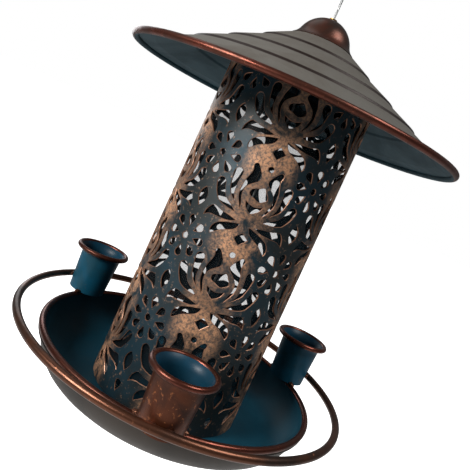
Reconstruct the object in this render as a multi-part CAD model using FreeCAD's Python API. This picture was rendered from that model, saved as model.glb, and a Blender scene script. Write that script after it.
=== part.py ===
import FreeCAD, Part
import math
import os
from FreeCAD import Vector

os.makedirs("parts", exist_ok=True)

# Hanging bird feeder: a stepped spun roof slides and turns on a steel cable
# above a pierced seed tube, which stands in a round tray with three treat
# cups and a perch ring. Heights are above the underside of the tray; the last
# step moves everything so that the origin is where the cable loop hangs.

# ---- driving dimensions, mm ----
sheet = 1.0                    # steel sheet of the tray, tube, roof and cups
clearance = 0.3                # between pieces that move past each other

# tray
tray_floor_radius = 70.0
tray_wall_reach = 22.2         # floor edge to bead centre, measured outwards
tray_height = 26.0
bead_dia = 4.0                 # rolled edge of the tray and the cups
roof_bead_dia = 4.4
edge_wire_dia = 1.6            # wire inside a rolled edge
wire_slack = 0.1
boss_radius = 13.0
boss_height = 6.0
boss_slope = 5.0
drain_hole_dia = 4.0
drain_circle_radius = 32.0
drain_hole_count = 4

# perch ring and treat cups
ring_reach = 16.3              # tray rim to the rod's centre line
ring_lift = 5.5                # tray rim to the rod's centre line
ring_rod_dia = 4.8
cup_count = 3
cup_foot_radius = 12.8
cup_top_radius = 14.4
cup_lip_radius = 19.5
cup_height = 33.0
cup_bead_dia = 3.4
cup_flare_height = 8.0
weld_size = 4.6
ring_weld_spread = 5.0         # weld to the cup's middle, along the ring

# pierced tube and its clear sleeve
tube_radius = 50.0
tube_height = 235.0
pattern_pitch = 54.0           # from one row of the pattern to the next
pattern_width = 62.8           # tile width round the tube
first_hub_height = 24.0
pierce_margin = 5.0            # plain band left at the tube's ends
seam_margin = 4.5              # plain half width left along the seam
seam_strip_width = 8.0
seam_strip_thickness = 0.8
seam_rivet_dia = 2.4
seam_rivet_head_dia = 3.8
seam_rivet_count = 6
sleeve_wall = 1.2
sleeve_gap = 0.5               # sleeve to tube
sleeve_drop = 12.0             # tube's top edge to the sleeve's top edge
seed_gap = 12.0                # seed runs out below the sleeve
foot_count = 3
foot_thickness = 1.6
foot_width = 12.0
foot_depth = 11.0
foot_rivet_dia = 3.0
foot_rivet_head_dia = 5.6

# roof and dome, widths measured outwards from the dome
roof_gap = 0.5                 # roof above the tube's top edge
dome_radius = 18.6
dome_flare = 3.5               # dome's foot stands out past the dome
dome_flare_start = 20          # degrees up the dome where the flare begins
dome_lip = 0.5
crown_band = 16.9              # dome foot to the first step
upper_band = 20.5
lower_band = 38.7
brim_band = 14.8
crown_slope = 29.0             # degrees
upper_slope = 26.0
lower_slope = 26.0
brim_slope = 12.5
step_run = 1.0
step_drop = 1.6
crown_hole_cover = 3.6         # dome's radius past the crown hole

# cable, its fixings and the bush that the roof turns on
cable_dia = 1.5
bush_bore_clearance = 0.2
bush_dia = 3.6
bush_turning_gap = 0.03        # bush to the dome's hole
bush_flange_dia = 5.4
bush_flange_height = 0.6
bush_length = 6.0
bush_clip_dia = 8.0
bush_clip_thickness = 0.8
roof_lift = 38.5
stop_gap = 2.0                 # raised dome to the ferrule
stud_dia = 4.0
stud_body_dia = 5.0
stud_body_length = 18.0
stud_chamfer = 0.6
stud_tail = 0.6                # stud below the nut
nut_across_flats = 7.0
nut_height = 3.2
washer_dia = 9.0
washer_thickness = 0.8
ferrule_length = 9.0
ferrule_wall = 0.9
loop_points = [(0.85, 4.0), (4.6, 12.0), (10.6, 21.0), (10.2, 31.0)]  # half loop
loop_top = 38.5

# ---- sizes worked out from them ----
origin = Vector(0, 0, 0)
up = Vector(0, 0, 1)
tray_rim_radius = tray_floor_radius + tray_wall_reach + bead_dia / 2
ring_radius = tray_rim_radius + ring_reach
ring_height = tray_height + ring_lift
dome_foot_radius = dome_radius + dome_flare
crown_hole_radius = dome_radius - crown_hole_cover
step_radii = [dome_foot_radius + crown_band]
step_radii.append(step_radii[0] + upper_band)
step_radii.append(step_radii[1] + lower_band)
roof_radius = step_radii[2] + brim_band
cup_taper = (cup_top_radius - cup_foot_radius) / (cup_height - cup_flare_height)
cup_side = cup_foot_radius + cup_taper * ring_lift
cup_circle_radius = ring_radius - ring_rod_dia / 2 - cup_side
sleeve_outer_radius = tube_radius - sheet - sleeve_gap
sleeve_bottom = sheet + seed_gap
tiles_around = max(3, round(2 * math.pi * tube_radius / pattern_width))

pieces = {}


# ---- helpers ----
def line(start, end):
    return Part.LineSegment(Vector(start[0], 0, start[1]), Vector(end[0], 0, end[1])).toShape()


def arc(start, middle, end):
    points = [Vector(p[0], 0, p[1]) for p in (start, middle, end)]
    return Part.Arc(*points).toShape()


def spin(face):
    return face.revolve(origin, up, 360)


def spun_outline(points):
    """Solid of revolution from a closed outline of (radius, height) corners."""
    edges = [line(points[i - 1], points[i]) for i in range(len(points))]
    return spin(Part.Face(Part.Wire(edges)))


def disc(radius, x, z):
    return Part.Face(Part.Wire(Part.makeCircle(radius, Vector(x, 0, z), Vector(0, 1, 0))))


def spun_sheet(edges, bead_radius, bead_height, bead, wire_dia=0):
    """Sheet of even thickness with a rolled bead on its edge, from an open outline that runs
    outwards; it thickens upwards. A bead with an edge wire is hollow."""
    section = Part.Wire(edges).makeOffset2D(sheet, 0, True, True)
    section = section.fuse(disc(bead / 2, bead_radius, bead_height))
    if wire_dia:
        section = section.cut(disc(wire_dia / 2, bead_radius, bead_height))
    section = section.removeSplitter()
    if len(section.Faces) != 1:
        raise ValueError("the bead came away from its sheet")
    return spin(section.Faces[0])


def tube(outer, inner, bottom, top):
    return Part.makeCylinder(outer, top - bottom, Vector(0, 0, bottom)).cut(
        Part.makeCylinder(inner, top - bottom, Vector(0, 0, bottom)))


def turned(shape, degrees):
    copy = shape.copy()
    copy.rotate(origin, up, degrees)
    return copy


def one_solid(shape):
    """The shape as its one solid; anything else means that a feature came apart."""
    clean = shape.removeSplitter()
    if len(clean.Solids) != 1:
        raise ValueError("expected one solid, found volumes %s" % [round(s.Volume, 2) for s in clean.Solids])
    return clean.Solids[0]


# ---- tray ----
def make_tray():
    bead_radius = tray_floor_radius + tray_wall_reach
    bead_height = tray_height - bead_dia / 2
    wall_top = (bead_radius - bead_dia / 4, bead_height)
    wall_foot = (tray_floor_radius, 0)
    wall_middle = (tray_floor_radius + 0.70 * tray_wall_reach, 0.30 * tray_height)
    slope_foot = (boss_radius + boss_slope, 0)
    edges = [line((0, boss_height), (boss_radius, boss_height)),
             line((boss_radius, boss_height), slope_foot),
             line(slope_foot, wall_foot),
             arc(wall_foot, wall_middle, wall_top)]
    dish = spun_sheet(edges, bead_radius, bead_height, bead_dia, edge_wire_dia + wire_slack)
    cuts = [Part.makeCylinder(stud_dia / 2, tray_height)]
    drain = Part.makeCylinder(drain_hole_dia / 2, 4 * sheet, Vector(drain_circle_radius, 0, -sheet))
    rivet = Part.makeCylinder(foot_rivet_dia / 2, 4 * sheet, Vector(foot_rivet_radius(), 0, -sheet))
    for i in range(drain_hole_count):
        cuts.append(turned(drain, 360 / drain_hole_count * (i + 0.5)))
    for angle in foot_angles():
        cuts.append(turned(rivet, angle))
    pieces["tray_dish"] = one_solid(dish.cut(cuts))
    pieces["tray_rim_wire"] = Part.makeTorus(bead_radius, edge_wire_dia / 2, Vector(0, 0, bead_height))


# ---- pierced tube: tile of openings about a hub, mirrored left and right ----
def opening(x0, z0, x1, z1, width, bend=0.0):
    """Leaf-shaped cutter from one tip to the other, set square to the tube at its own middle."""
    centre = (x0 + x1) / 2
    depth = 3 * sheet
    front = -(tube_radius + depth)
    start = Vector(x0 - centre, front, z0)
    end = Vector(x1 - centre, front, z1)
    middle = (start + end) / 2
    along = (end - start).normalize()
    across = Vector(-along.z, 0, along.x)
    one_side = Part.Arc(start, middle + across * (bend + width / 2), end)
    if abs(bend - width / 2) < 0.01:
        other_side = Part.LineSegment(end, start)
    else:
        other_side = Part.Arc(end, middle + across * (bend - width / 2), start)
    outline = Part.Wire([one_side.toShape(), other_side.toShape()])
    cutter = Part.Face(outline).extrude(Vector(0, 2 * depth, 0))
    return turned(cutter, math.degrees(centre / tube_radius))


def round_opening(x, z, radius):
    cutter = Part.makeCylinder(radius, 6 * sheet, Vector(0, -tube_radius - 3 * sheet, z), Vector(0, 1, 0))
    return turned(cutter, math.degrees(x / tube_radius))


def hub_openings():
    """(low, high, cutter) of each opening about a hub at height 0."""
    cutters = [opening(0, -5.5, 0, -12.5, 6.0),        # diamond under the hub
               opening(0, 3.0, 0, 11.0, 6.5),          # fan over the hub
               opening(-6.2, 17.5, 6.2, 17.5, 9.0),    # rose
               round_opening(0, -19, 2.2)]
    sides = [(4.8, 5.0, 10.6, 20.0, 2.2, -2.6),        # inner rib gap
             (8.0, 4.4, 15.6, 25.0, 3.4, -3.2),        # outer rib gap
             (9.5, 2.4, 24.5, 16.0, 5.4, -3.0),        # upper leaf
             (6.0, -0.4, 23.5, -4.0, 4.8, 0.6),        # level leaf
             (5.0, -5.2, 18.0, -15.0, 4.0, 2.4),       # lower leaf
             (8.8, -18.0, 9.6, -31.0, 4.0, -2.2)]      # wing slot
    for x0, z0, x1, z1, width, bend in sides:
        cutters.append(opening(x0, z0, x1, z1, width, bend))
        cutters.append(opening(-x0, z0, -x1, z1, width, -bend))
    return cutters


def daisy_openings():
    """Openings of the daisy and the marquise between two hubs, about a hub at height 0."""
    daisy_height = -23.0
    cutters = [round_opening(0, daisy_height, 2.0), opening(0, -3.0, 0, 8.0, 5.4)]
    for i in range(8):
        across = math.cos(math.radians(45 * i))
        along = math.sin(math.radians(45 * i))
        cutters.append(opening(5.2 * across, daisy_height + 5.2 * along,
                               12.2 * across, daisy_height + 12.2 * along, 4.4))
    return cutters


def seam_angle():
    """The seam runs down the daisy column nearest the back of the tube."""
    step = 360 / tiles_around
    return step * (math.floor(180 / step - 0.5) + 0.5)


def tube_blank(rows, half_turn):
    """The plain tube as one solid, its faces divided on the pattern's grid so that each stays simple."""
    heights = [first_hub_height + pattern_pitch * (i + 0.5) for i in range(rows - 1)]
    heights = [sheet] + heights + [tube_height]
    blocks = []
    for bottom, top in zip(heights, heights[1:]):
        corners = [(tube_radius - sheet, bottom), (tube_radius, bottom),
                   (tube_radius, top), (tube_radius - sheet, top)]
        section = Part.Face(Part.Wire([line(corners[i - 1], corners[i]) for i in range(4)]))
        block = section.revolve(origin, up, half_turn)
        blocks += [turned(block, -90 + half_turn * (i + 0.5)) for i in range(2 * tiles_around)]
    return blocks[0].multiFuse(blocks[1:])


def make_tube():
    rows = int((tube_height - first_hub_height) // pattern_pitch) + 1
    half_turn = 180 / tiles_around
    seam = turned(seam_line(), seam_angle())
    body = tube_blank(rows, half_turn)
    cutters = []
    for row in range(rows):
        lift = Vector(0, 0, first_hub_height + pattern_pitch * row)
        for tile in range(tiles_around):
            angle = 2 * half_turn * tile
            hub = [turned(c, angle) for c in hub_openings()]
            daisy = [turned(c, angle + half_turn) for c in daisy_openings()]
            if abs(angle + half_turn - seam_angle()) < 1:
                daisy = [c for c in daisy if c.distToShape(seam)[0] > seam_margin]
            for cutter in hub + daisy:
                cutter.translate(lift)
                box = cutter.BoundBox
                if box.ZMin > sheet + pierce_margin and box.ZMax < tube_height - pierce_margin:
                    cutters.append(cutter)
    pierced = body.cut(cutters)
    if len(pierced.Solids) != 1:
        raise ValueError("the pattern cuts the tube into %d solids" % len(pierced.Solids))
    pieces["pierced_tube"] = pierced.Solids[0]


def seam_line():
    reach = 2 * pattern_pitch
    return Part.makeLine(Vector(0, -tube_radius, -reach), Vector(0, -tube_radius, reach))


def make_seam():
    bottom = sheet + pierce_margin
    top = tube_height - pierce_margin
    face_radius = tube_radius + seam_strip_thickness
    ring = tube(face_radius, tube_radius, bottom, top)
    band = Part.makeBox(seam_strip_width, 2 * tube_radius, tube_height,
                        Vector(-seam_strip_width / 2, -2 * tube_radius, 0))
    strip = ring.common(band)
    inside = Part.makeCylinder(face_radius, tube_height)
    rivets = []
    spacing = (top - bottom) / seam_rivet_count
    for i in range(seam_rivet_count):
        height = bottom + spacing * (i + 0.5)
        shank = Part.makeCylinder(seam_rivet_dia / 2, seam_strip_width,
                                  Vector(0, -tube_radius - seam_strip_width / 2, height), Vector(0, 1, 0))
        shank = shank.common(ring)
        strip = strip.cut(shank)
        head = Part.makeSphere(seam_rivet_head_dia / 2,
                               Vector(0, -tube_radius - seam_strip_thickness / 2, height))
        rivets.append(one_solid(shank.fuse(head.cut(inside))))
    pieces["seam_strip"] = turned(one_solid(strip), seam_angle())
    pieces["seam_rivets"] = turned(Part.makeCompound(rivets), seam_angle())


# ---- sleeve and the feet that hold tube and sleeve ----
def foot_angles():
    return [360 / foot_count * (i + 0.5) - 90 for i in range(foot_count)]


def foot_rivet_radius():
    return tube_radius - sheet - foot_thickness - (foot_depth - foot_thickness) / 2


def make_feet():
    outer = tube_radius - sheet
    leg = tube(outer, outer - foot_thickness, sheet, sleeve_bottom)
    base = tube(outer, outer - foot_depth, sheet, sheet + foot_thickness)
    band = Part.makeBox(2 * tube_radius, foot_width, tube_height, Vector(0, -foot_width / 2, 0))
    foot = leg.fuse(base).common(band)
    shank = Part.makeCylinder(foot_rivet_dia / 2, sheet + foot_thickness, Vector(foot_rivet_radius(), 0, 0))
    foot = one_solid(foot.cut(shank))
    head_bottom = sheet + foot_thickness
    head = Part.makeSphere(foot_rivet_head_dia / 2,
                           Vector(foot_rivet_radius(), 0, head_bottom - foot_rivet_head_dia / 5))
    head = head.cut(Part.makeBox(2 * tube_radius, tube_radius, head_bottom + tube_radius,
                                 Vector(0, -tube_radius / 2, -tube_radius)))
    rivet = one_solid(shank.fuse(head))
    for i, angle in enumerate(foot_angles()):
        pieces["tube_foot_%d" % (i + 1)] = turned(foot, angle)
    pieces["foot_rivets"] = Part.makeCompound([turned(rivet, angle) for angle in foot_angles()])


def make_sleeve():
    pieces["clear_seed_sleeve"] = tube(sleeve_outer_radius, sleeve_outer_radius - sleeve_wall,
                                       sleeve_bottom, tube_height - sleeve_drop)


# ---- perch ring, treat cups and their weld beads ----
def make_cup():
    bead_radius = cup_lip_radius - cup_bead_dia / 2
    bead_height = cup_height - cup_bead_dia / 2
    flare_foot = (cup_top_radius, cup_height - cup_flare_height)
    flare_top = (bead_radius - cup_bead_dia / 4, bead_height)
    flare_middle = (cup_top_radius + 0.18 * (flare_top[0] - cup_top_radius),
                    bead_height - 0.42 * cup_flare_height)
    edges = [line((0, 0), (cup_foot_radius, 0)),
             line((cup_foot_radius, 0), flare_foot),
             arc(flare_foot, flare_middle, flare_top)]
    return spun_sheet(edges, bead_radius, bead_height, cup_bead_dia)


def rim_weld(side, cup):
    """Bead of weld where the edge of the cup's foot stands on the tray's rim."""
    bead_radius = tray_rim_radius - bead_dia / 2
    y = -math.sqrt(bead_radius ** 2 - cup_foot_radius ** 2)
    rim = Part.makeTorus(bead_radius, bead_dia / 2, Vector(0, 0, tray_height - bead_dia / 2))
    bead = Part.makeSphere(weld_size / 2, Vector(side * cup_foot_radius, y, tray_height))
    return max(bead.cut(cup).cut(rim).Solids, key=lambda solid: solid.Volume)


def ring_weld(side, cup):
    """Wedge of weld between the cup's side and the inside of the perch ring."""
    inner_radius = ring_radius - ring_rod_dia / 2
    bottom = ring_height - weld_size / 4
    block = Part.makeBox(weld_size, 2 * weld_size, weld_size / 2,
                         Vector(side * ring_weld_spread - weld_size / 2, -inner_radius - weld_size, bottom))
    wedge = block.common(Part.makeCylinder(inner_radius, weld_size / 2, Vector(0, 0, bottom))).cut(cup)
    return max(wedge.Solids, key=lambda solid: solid.Volume)


def make_cups_and_ring():
    ring = Part.makeTorus(ring_radius, ring_rod_dia / 2, Vector(0, 0, ring_height))
    pieces["perch_ring"] = ring
    cup = make_cup()
    cup.translate(Vector(0, -cup_circle_radius, tray_height))
    filled_cup = Part.makeCone(cup_foot_radius, cup_top_radius, cup_height - cup_flare_height,
                               Vector(0, -cup_circle_radius, tray_height))
    ring_welds = [ring_weld(side, filled_cup) for side in (-1, 1)]
    tray_welds = [rim_weld(side, filled_cup) for side in (-1, 1)]
    cup_names = ["front", "right", "left"]
    cup_angles = [360 / cup_count * i for i in range(cup_count)]
    for i, angle in enumerate(cup_angles):
        name = cup_names[i] if i < len(cup_names) else str(i + 1)
        pieces["treat_cup_" + name] = turned(cup, angle)
    for name, welds in (("cup_ring_welds", ring_welds), ("cup_tray_welds", tray_welds)):
        pieces[name] = Part.makeCompound([turned(w, angle) for angle in cup_angles for w in welds])


# ---- roof ----
def drop(width, slope):
    return width * math.tan(math.radians(slope))


def roof_line():
    """(radius, height) corners of the roof's underside from the crown hole out, from height 0 down."""
    points = [(crown_hole_radius, 0.0)]
    starts = [crown_hole_radius] + step_radii
    bands = [(step_radii[0], crown_slope), (step_radii[1], upper_slope), (step_radii[2], lower_slope)]
    height = 0.0
    for i, (edge, slope) in enumerate(bands):
        height -= drop(edge - starts[i] - (step_run if i else 0), slope)
        points.append((edge, height))
        height -= step_drop
        points.append((edge + step_run, height))
    bead_radius = roof_radius - roof_bead_dia / 2
    height -= drop(bead_radius - step_radii[2] - step_run, brim_slope)
    points.append((bead_radius, height))
    return points


def roof_under(radius):
    """Height of the roof's underside at a radius, from the same corners."""
    points = roof_line()
    for (r0, z0), (r1, z1) in zip(points, points[1:]):
        if r0 <= radius <= r1:
            return z0 + (z1 - z0) * (radius - r0) / (r1 - r0)
    return points[-1][1]


def crown_height():
    """Height of the underside at the crown hole, set so that the roof clears the tube by roof_gap."""
    return tube_height + roof_gap - roof_under(tube_radius)


def dome_seat(radius):
    """Height of the roof's outer face under the dome."""
    return crown_height() + roof_under(radius) + sheet / math.cos(math.radians(crown_slope))


def dome_centre_height():
    return dome_seat(dome_foot_radius)


def dome_top():
    return dome_centre_height() + dome_radius


def make_roof():
    lift = crown_height()
    points = [(r, z + lift) for r, z in roof_line()]
    edges = [line(points[i], points[i + 1]) for i in range(len(points) - 1)]
    bead_radius, bead_height = points[-1]
    wire_bore = edge_wire_dia + wire_slack
    pieces["roof_cone"] = spun_sheet(edges, bead_radius, bead_height, roof_bead_dia, wire_bore)
    pieces["roof_rim_wire"] = Part.makeTorus(bead_radius, edge_wire_dia / 2, Vector(0, 0, bead_height))


def make_dome():
    """Half sphere whose foot runs out onto the roof; the flare leaves the sphere without a corner."""
    centre = dome_centre_height()
    hole = bush_dia / 2 + bush_turning_gap
    inner = dome_radius - sheet

    def on_sphere(radius, degrees):
        a = math.radians(degrees)
        return (radius * math.cos(a), centre + radius * math.sin(a))

    outer_top = (hole, centre + math.sqrt(dome_radius ** 2 - hole ** 2))
    inner_top = (hole, centre + math.sqrt(inner ** 2 - hole ** 2))
    flare_top = on_sphere(dome_radius, dome_flare_start)
    inner_foot = on_sphere(inner, dome_flare_start)
    lip_foot = (dome_foot_radius, dome_seat(dome_foot_radius))
    lip_top = (dome_foot_radius, lip_foot[1] + dome_lip)
    width = lip_top[0] - flare_top[0]
    height = flare_top[1] - lip_top[1]
    bend = math.radians(90 - dome_flare_start) - math.atan2(height, width)
    sag = math.tan(bend / 2) / 2
    flare_middle = (flare_top[0] + width / 2 - sag * height, lip_top[1] + height / 2 - sag * width)
    edges = [line(inner_top, outer_top),
             arc(outer_top, on_sphere(dome_radius, 45), flare_top),
             arc(flare_top, flare_middle, lip_top),
             line(lip_top, lip_foot),
             line(lip_foot, (inner_foot[0], dome_seat(inner_foot[0]))),
             line((inner_foot[0], dome_seat(inner_foot[0])), inner_foot),
             arc(inner_foot, on_sphere(inner, 45), inner_top)]
    pieces["dome_cap"] = spin(Part.Face(Part.Wire(edges)))


def make_bush():
    bore = cable_dia / 2 + bush_bore_clearance
    clip_top = dome_top() - sheet - 2 * clearance
    flange_bottom = dome_top() + clearance / 3
    flange_top = flange_bottom + bush_flange_height
    shank = bush_dia / 2
    pieces["cap_bush"] = spun_outline([
        (bore, flange_top), (bush_flange_dia / 2, flange_top), (bush_flange_dia / 2, flange_bottom),
        (shank, flange_bottom), (shank, flange_top - bush_length), (bore, flange_top - bush_length)])
    pieces["bush_clip"] = tube(bush_clip_dia / 2, shank, clip_top - bush_clip_thickness, clip_top)


# ---- cable and its fixings ----
def stud_height():
    return boss_height + sheet + washer_thickness


def ferrule_bottom():
    return dome_top() + bush_flange_height + roof_lift + stop_gap


def cable_route():
    """Centre line points from the stud's top, straight up, round the loop and back down."""
    loop_start = ferrule_bottom() + ferrule_length
    route = [(0.0, stud_height() + stud_body_length)]
    half = [(x, loop_start + z) for x, z in loop_points]
    centre = loop_points[0][0]
    route += [(centre - x, z) for x, z in half]
    route.append((centre, loop_start + loop_top))
    route += [(centre + x, z) for x, z in reversed(half)]
    route.append((2 * centre, ferrule_bottom()))
    return route


def rounded_path(route):
    """Straight runs joined by tangent arcs, each as large as 0.45 of its shorter run allows."""
    points = [Vector(x, 0, z) for x, z in route]
    edges = []
    here = points[0]
    length = 0.0
    highest = here.z
    for i in range(1, len(points) - 1):
        before = points[i - 1] - points[i]
        after = points[i + 1] - points[i]
        reach = 0.45 * min(before.Length, after.Length)
        start = points[i] + before.normalize() * reach
        end = points[i] + after.normalize() * reach
        half_turn = (math.pi - before.getAngle(after)) / 2
        radius = reach / math.tan(half_turn)
        to_centre = (before + after).normalize()
        middle = points[i] + to_centre * (radius / math.cos(half_turn) - radius)
        print("cable bend radius %.2f mm, turn %.0f degrees" % (radius, 2 * math.degrees(half_turn)))
        edges.append(Part.LineSegment(here, start).toShape())
        edges.append(Part.Arc(start, middle, end).toShape())
        length += (start - here).Length + edges[-1].Length
        highest = max(highest, middle.z)
        here = end
    edges.append(Part.LineSegment(here, points[-1]).toShape())
    length += edges[-1].Length
    return Part.Wire(edges), length, highest


def make_cable():
    path, length, highest = rounded_path(cable_route())
    start = Vector(0, 0, cable_route()[0][1])
    profile = Part.Wire([Part.makeCircle(cable_dia / 2, start, up)])
    cable = path.makePipeShell([profile], True, True)
    section = math.pi * (cable_dia / 2) ** 2
    print("cable length %.1f mm" % length)
    print("volume over section times length %.4f" % (cable.Volume / section / length))
    pieces["hanging_cable"] = cable
    centre = loop_points[0][0]
    half_width = centre + cable_dia / 2 + ferrule_wall
    half_depth = cable_dia / 2 + ferrule_wall
    flat = half_width - half_depth
    sleeve = Part.makeBox(2 * flat, 2 * half_depth, ferrule_length,
                          Vector(centre - flat, -half_depth, ferrule_bottom()))
    for side in (-1, 1):
        sleeve = sleeve.fuse(Part.makeCylinder(half_depth, ferrule_length,
                                               Vector(centre + side * flat, 0, ferrule_bottom())))
    sleeve = sleeve.removeSplitter()
    for x in (0, 2 * centre):
        sleeve = sleeve.cut(Part.makeCylinder(cable_dia / 2, 3 * ferrule_length,
                                              Vector(x, 0, ferrule_bottom() - ferrule_length)))
    pieces["loop_ferrule"] = one_solid(sleeve)
    return highest - cable_dia / 2


def make_stud():
    bottom = boss_height - washer_thickness - nut_height - stud_tail
    shank = Part.makeCylinder(stud_dia / 2, stud_height() - bottom, Vector(0, 0, bottom))
    body = Part.makeCylinder(stud_body_dia / 2, stud_body_length, Vector(0, 0, stud_height()))
    top_edges = [e for e in body.Edges if e.BoundBox.ZMin > stud_height() + stud_body_length / 2]
    body = body.makeChamfer(stud_chamfer, top_edges)
    pieces["cable_stud"] = one_solid(shank.fuse(body))
    pieces["stud_washer_upper"] = tube(washer_dia / 2, stud_dia / 2, boss_height + sheet, stud_height())
    nut_top = boss_height - washer_thickness
    pieces["stud_washer_lower"] = tube(washer_dia / 2, stud_dia / 2, nut_top, boss_height)
    corner = nut_across_flats / math.sqrt(3)
    corners = [Vector(corner * math.cos(math.radians(60 * i)), corner * math.sin(math.radians(60 * i)),
                      nut_top - nut_height) for i in range(7)]
    nut = Part.Face(Part.makePolygon(corners)).extrude(Vector(0, 0, nut_height))
    pieces["stud_nut"] = nut.cut(Part.makeCylinder(stud_dia / 2, boss_height))


make_tray()
make_tube()
make_seam()
make_feet()
make_sleeve()
make_cups_and_ring()
make_roof()
make_dome()
make_bush()
make_stud()

# the loop's inner top is the origin: the point that a hook carries
hang_height = make_cable()
print("hang height %.4f mm above the tray's underside" % hang_height)
for name, shape in pieces.items():
    shape.translate(Vector(0, 0, -hang_height))
    if not shape.isValid() or not shape.Solids:
        raise ValueError(name + " is not a valid solid")
    shape.exportStep("parts/" + name + ".step")
    box = shape.optimalBoundingBox(False)
    print("%-20s solids %d  x %.2f..%.2f  y %.2f..%.2f  z %.2f..%.2f" % (
        name, len(shape.Solids), box.XMin, box.XMax, box.YMin, box.YMax, box.ZMin, box.ZMax))
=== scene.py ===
import math
import bpy
import bmesh
from mathutils import Matrix, Vector, noise


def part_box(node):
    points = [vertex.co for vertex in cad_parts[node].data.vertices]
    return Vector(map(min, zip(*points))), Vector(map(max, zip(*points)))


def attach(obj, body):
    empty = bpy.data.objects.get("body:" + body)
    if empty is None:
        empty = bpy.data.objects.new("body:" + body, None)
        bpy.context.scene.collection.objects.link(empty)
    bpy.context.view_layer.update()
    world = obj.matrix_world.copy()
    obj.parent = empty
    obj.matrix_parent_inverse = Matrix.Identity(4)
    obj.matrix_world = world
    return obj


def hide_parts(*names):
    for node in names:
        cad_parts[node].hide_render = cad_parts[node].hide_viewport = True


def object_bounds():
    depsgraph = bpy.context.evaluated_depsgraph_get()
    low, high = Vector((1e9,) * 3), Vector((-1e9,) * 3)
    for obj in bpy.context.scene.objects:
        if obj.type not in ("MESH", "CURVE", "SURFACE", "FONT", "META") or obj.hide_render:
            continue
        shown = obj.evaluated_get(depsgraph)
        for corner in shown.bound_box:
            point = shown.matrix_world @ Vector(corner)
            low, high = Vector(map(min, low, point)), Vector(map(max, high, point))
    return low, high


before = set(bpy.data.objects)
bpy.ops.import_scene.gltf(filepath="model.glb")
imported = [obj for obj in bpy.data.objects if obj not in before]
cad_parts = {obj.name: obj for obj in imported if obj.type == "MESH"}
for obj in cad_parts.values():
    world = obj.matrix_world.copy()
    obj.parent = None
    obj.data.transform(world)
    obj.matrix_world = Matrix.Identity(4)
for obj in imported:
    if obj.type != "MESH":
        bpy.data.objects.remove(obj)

cadLow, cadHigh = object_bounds()
print("frame loaded:", len(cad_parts), "nodes")

# places read from the frame
tubeLow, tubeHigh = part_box("pierced_tube")
roofLow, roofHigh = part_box("roof_cone")
trayLow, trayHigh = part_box("tray_dish")
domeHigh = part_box("dome_cap")[1]
ringLow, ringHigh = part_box("perch_ring")
tubeRadius = tubeHigh.x
sheet = 0.001


def addObject(name, mesh, materials, body):
    piece = bpy.data.objects.new(name, mesh)
    bpy.context.collection.objects.link(piece)
    for material in materials:
        mesh.materials.append(material)
    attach(piece, body)
    return piece


def meshFrom(bm, name, smoothAngle=40):
    mesh = bpy.data.meshes.new(name)
    bm.to_mesh(mesh)
    bm.free()
    mesh.shade_smooth()
    if smoothAngle:
        mesh.set_sharp_from_angle(angle=math.radians(smoothAngle))
    return mesh


def openLine(bm, points):
    verts = [bm.verts.new((r, 0, z)) for r, z in points]
    edges = [bm.edges.new(pair) for pair in zip(verts, verts[1:])]
    return verts, edges


def roundCorners(bm, verts, radius, segments=3):
    # the corners of a bare line become short arcs
    bmesh.ops.bevel(bm, geom=verts, offset=radius, offset_type='OFFSET', segments=segments,
                    profile=0.5, affect='VERTICES', material=-1)


def spinAll(bm, steps):
    geom = list(bm.verts) + list(bm.edges)
    bmesh.ops.spin(bm, geom=geom, cent=(0, 0, 0), axis=(0, 0, 1), dvec=(0, 0, 0),
                   angle=math.tau, steps=steps, use_merge=True)
    bmesh.ops.remove_doubles(bm, verts=bm.verts, dist=1e-6)
    bmesh.ops.recalc_face_normals(bm, faces=bm.faces)


def circleLine(bm, r, z, radius, segments=20):
    ring = bmesh.ops.create_circle(bm, cap_ends=False, radius=radius, segments=segments)["verts"]
    bmesh.ops.rotate(bm, verts=ring, cent=(0, 0, 0), matrix=Matrix.Rotation(math.pi / 2, 3, 'X'))
    bmesh.ops.translate(bm, verts=ring, vec=(r, 0, z))
    return ring


def spunSheet(points, thickness, steps, cornerRadius, cornerSegments=3, outward=False):
    # sheet of even thickness, spun from an open line of (radius, height); the line is the roof's
    # top face, or with outward the face that looks away from the axis or down
    bm = bmesh.new()
    verts, edges = openLine(bm, points)
    if cornerRadius:
        roundCorners(bm, verts[1:-1], cornerRadius, cornerSegments)
    spinAll(bm, steps)
    lean = sum((f.normal.x * f.calc_center_median().x + f.normal.y * f.calc_center_median().y
                - (f.normal.z * 0.02 if outward else -f.normal.z)) * f.calc_area() for f in bm.faces)
    if lean < 0:
        bmesh.ops.reverse_faces(bm, faces=bm.faces)
    bmesh.ops.solidify(bm, geom=bm.faces, thickness=thickness)
    return bm


def spunBead(bm, r, z, radius, steps, index, innerIndex=None):
    # a rolled edge, as a ring of its own beside the sheet; its side towards the axis may differ
    bead = bmesh.new()
    circleLine(bead, r, z, radius)
    spinAll(bead, steps)
    for face in bead.faces:
        centre = face.calc_center_median()
        inward = face.normal.x * centre.x + face.normal.y * centre.y < 0
        face.material_index = innerIndex if inward and innerIndex is not None else index
    scrap = bpy.data.meshes.new("scrap")
    bead.to_mesh(scrap)
    bead.free()
    bm.from_mesh(scrap)
    bpy.data.meshes.remove(scrap)


def colour(text, alpha=1.0):
    # an sRGB hex colour as linear values
    parts = [int(text[i:i + 2], 16) / 255 for i in (1, 3, 5)]
    return tuple(c / 12.92 if c <= 0.04045 else ((c + 0.055) / 1.055) ** 2.4 for c in parts) + (alpha,)


def makeGroup(name, inputs, outputs):
    group = bpy.data.node_groups.new(name, 'ShaderNodeTree')
    for label, kind, value in inputs:
        socket = group.interface.new_socket(name=label, in_out='INPUT', socket_type=kind)
        if value is not None:
            socket.default_value = value
    for label in outputs:
        group.interface.new_socket(name=label, in_out='OUTPUT', socket_type='NodeSocketFloat')
    return group, group.nodes.new('NodeGroupInput'), group.nodes.new('NodeGroupOutput')


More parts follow.
